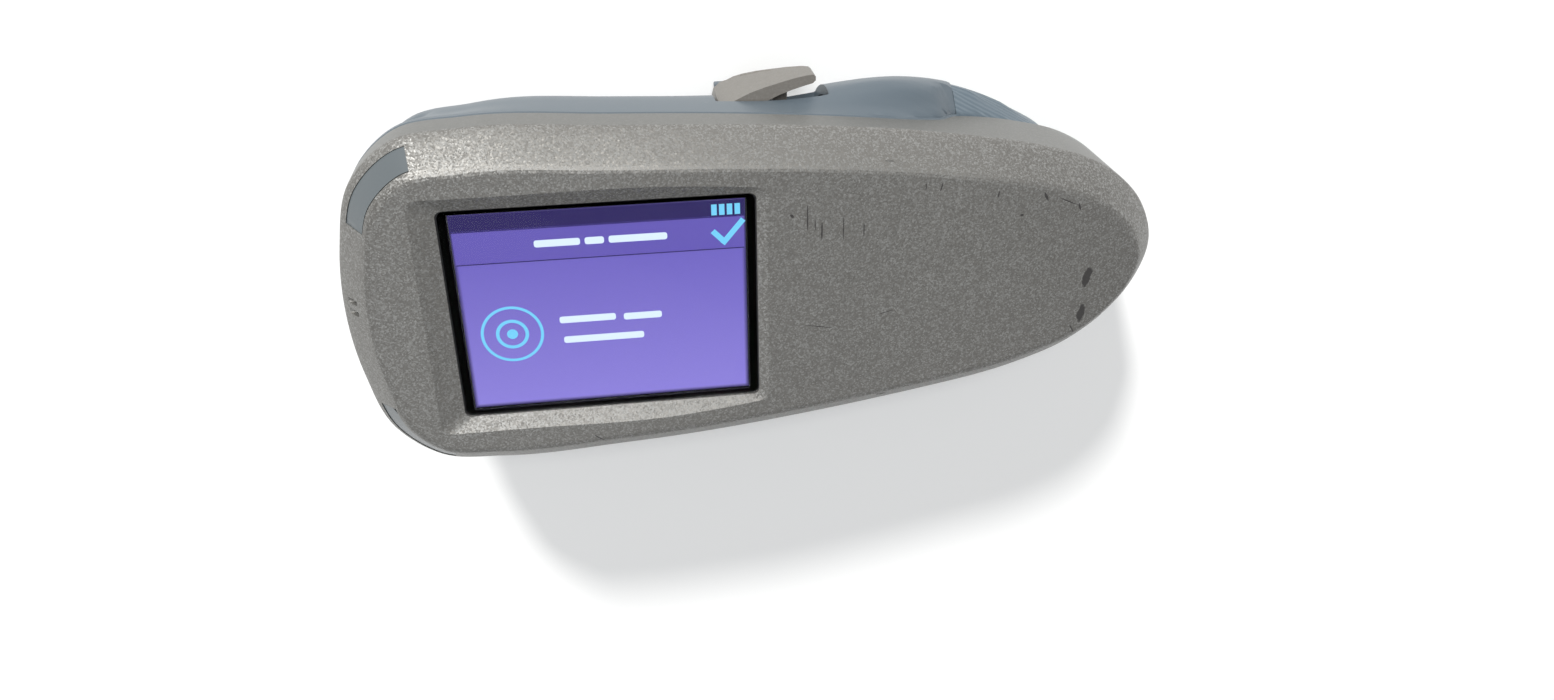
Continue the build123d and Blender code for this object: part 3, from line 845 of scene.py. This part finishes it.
link(tree, field_colour, tree.nodes["Principled BSDF"].inputs["Emission Color"])
dark_field = glow("dark_field", (0.028, 0.02, 0.115))
header_field = glow("header_field", (0.135, 0.105, 0.47))
white_mark = glow("white_mark", (0.72, 0.86, 1.0), 1.05)
cyan_mark = glow("cyan_mark", (0.19, 0.66, 0.98))

field_bm = bmesh.new()
place = Matrix.Translation((0, 0, 44.04 * MM)) @ Matrix.Diagonal((57.6 * MM, 43.2 * MM, 1, 1))
bmesh.ops.create_grid(field_bm, x_segments=1, y_segments=1, size=0.5, matrix=place)
finished(field_bm, "lit_area", "housing", lit_field)


def bar(x, y, width, height, z=44.12, round_end=0.0, into=None):
    """A thin lit plate centred at x, y."""
    return rounded_plate((x, y), (width, height), round_end, z - 0.02, z, into=into)


finished(bar(0, 19.6, 57.4, 3.6, 44.08), "status_strip", "housing", dark_field)
finished(bar(0, 14.65, 57.0, 7.1, 44.08), "header_strip", "housing", header_field)
finished(bar(0, 11.0, 56.8, 0.22), "header_line", "housing", dark_field)
levels = bmesh.new()
for i in range(4):
    bar(22.6 + 1.55 * i, 19.45, 1.1, 2.3, into=levels)
finished(levels, "level_bars", "housing", cyan_mark)
words = bmesh.new()
WORDS = (  # x, y and length of each plain bar
    (-8.6, 14.6, 9.0), (-1.3, 14.6, 3.8), (7.3, 14.6, 11.6), (-4.0, -2.5, 11.4), (7.2, -2.7, 7.8), (-1.0, -7.1, 16.4),
)
for x, y, width in WORDS:
    bar(x, y, width, 1.5, round_end=0.5, into=words)
finished(words, "word_bars", "housing", white_mark)
tick = bmesh.new()
for (xa, ya), (xb, yb) in (((22.4, 14.7), (24.6, 12.4)), ((24.3, 12.3), (28.2, 16.9))):
    length, lean = math.hypot(xb - xa, yb - ya), math.atan2(yb - ya, xb - xa)
    place = Matrix.Translation(Vector(((xa + xb) / 2, (ya + yb) / 2, 44.11)) * MM) @ Matrix.Rotation(lean, 4, "Z")
    place = place @ Matrix.Diagonal(((length + 0.6) * MM, 1.15 * MM, 0.02 * MM, 1))
    bmesh.ops.create_cube(tick, size=1, matrix=place)
finished(tick, "tick_mark", "housing", cyan_mark)
target = bmesh.new()
for radius, width in ((6.3, 0.6), (3.3, 0.7)):
    flat = bmesh.new()
    place = Matrix.Translation(Vector((-19.4, -4.9, 44.12)) * MM)
    outer = bmesh.ops.create_circle(flat, segments=96, radius=radius * MM, matrix=place)["verts"]
    edges = [e for e in flat.edges]
    inner = bmesh.ops.extrude_edge_only(flat, edges=edges)["geom"]
    centre = place.to_translation()
    for v in inner:
        if isinstance(v, bmesh.types.BMVert):
            v.co = centre + (v.co - centre) * (radius - width) / radius
    mesh = bpy.data.meshes.new("work")
    flat.to_mesh(mesh)
    flat.free()
    target.from_mesh(mesh)
rod((-19.4, -4.9, 44.1), (-19.4, -4.9, 44.12), 1.1, into=target)
finished(target, "target_mark", "housing", cyan_mark)
